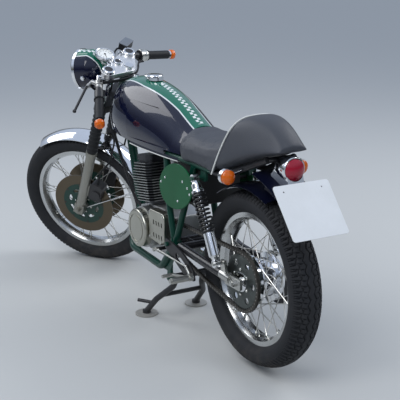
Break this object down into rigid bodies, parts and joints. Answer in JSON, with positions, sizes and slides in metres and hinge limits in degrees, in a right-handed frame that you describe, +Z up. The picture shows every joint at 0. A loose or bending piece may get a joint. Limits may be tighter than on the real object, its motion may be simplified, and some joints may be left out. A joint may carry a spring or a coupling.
{
  "type": "cafe racer motorcycle",
  "caption": "Single-cylinder cafe racer motorcycle parked on its centre stand, with wire wheels, twin front discs, clip-on bars, a long tank and a humped solo seat.",
  "frame": {"origin": "bottom centre of the model's bounding box, on the ground under the motorcycle", "axes": "+X forward along the motorcycle, +Y to the rider's left, +Z up"},
  "size_m": [2.0333, 0.6069, 1.0647],
  "materials": {
    "amber_lens": "clear",
    "black_paint": "gloss",
    "black_plastic": "matte",
    "black_rubber": "matte",
    "cast_alloy": "satin",
    "chain_steel": "oiled",
    "chrome": "polished",
    "control_metal": "satin",
    "cover_green": "gloss",
    "dark_blue": "gloss",
    "disc_iron": "worn",
    "frame_green": "gloss",
    "gauge_silver": "satin",
    "lamp_glass": "clear",
    "plate_white": "satin",
    "polished_alloy": "polished",
    "raw_alloy": "satin",
    "red_lens": "clear",
    "rim_alloy": "polished",
    "seat_vinyl": "satin",
    "spoke_steel": "bright",
    "stand_black": "satin",
    "tank_paint": "metallic gloss",
    "tyre": "matte"
  },
  "bodies": {
    "chassis": {"drive_chain": "chain_steel", "swingarm": "black_paint", "frame_spine": "frame_green", "frame_cradle": "frame_green", "crankcase": "cast_alloy", "cylinder": "cast_alloy", "cylinder_head": "cast_alloy", "engine_covers": "polished_alloy", "sprocket_cover": "polished_alloy", "output_sprocket": "chain_steel", "carburettor": "cast_alloy", "exhaust_header": "chrome", "silencer": "black_paint", "fuel_tank": "tank_paint", "fuel_cap": "chrome", "seat_hump": "seat_vinyl", "seat_cushion": "seat_vinyl", "electrics_box": "black_plastic", "side_covers": "cover_green", "rear_mudguard": "dark_blue", "number_plate": "plate_white", "tail_lamp": "chrome", "tail_lens": "red_lens", "indicator_lenses": "amber_lens", "rear_indicators": "chrome", "rear_sets": "polished_alloy", "shock_bodies": "chrome", "shock_springs": "black_paint", "control_cables": "black_rubber"},
    "steering": {"lower_yoke": "black_paint", "top_yoke": "polished_alloy", "fork_stanchions": "chrome", "fork_sliders": "raw_alloy", "fork_gaiters": "black_rubber", "brake_calipers": "black_paint", "front_mudguard": "chrome", "headlamp_shell": "dark_blue", "headlamp_glass": "lamp_glass", "speedometer": "gauge_silver", "handlebars": "chrome", "grips": "black_rubber", "bar_end_lamps": "amber_lens", "hand_controls": "control_metal", "brake_hoses": "black_rubber"},
    "front_wheel": {"front_tyre": "tyre", "front_rim": "rim_alloy", "front_spokes": "spoke_steel", "front_hub": "cast_alloy", "front_discs": "disc_iron"},
    "rear_wheel": {"rear_tyre": "tyre", "rear_rim": "rim_alloy", "rear_spokes": "spoke_steel", "rear_hub": "cast_alloy", "rear_sprocket": "chain_steel"},
    "stand": {"centre_stand": "stand_black"}
  },
  "joints": [
    {"name": "steering_turn", "type": "hinge", "parent": "chassis", "child": "steering", "pos_m": [0.70258, 0.01823, 0.29891], "axis": [-0.454, 0, 0.891], "range_deg": [-78, 0]},
    {"name": "front_wheel_spin", "type": "hinge", "parent": "steering", "child": "front_wheel", "pos_m": [0.73582, 0.04843, 0.31584], "axis": [-0.5607, 0.7771, -0.2857], "continuous": true},
    {"name": "rear_wheel_spin", "type": "hinge", "parent": "chassis", "child": "rear_wheel", "pos_m": [-0.65465, 0.01823, 0.336], "axis": [0, 1, 0], "continuous": true},
    {"name": "stand_fold", "type": "hinge", "parent": "chassis", "child": "stand", "pos_m": [-0.14665, 0.01823, 0.198], "axis": [0, 1, 0], "range_deg": [0, 108]}
  ]
}
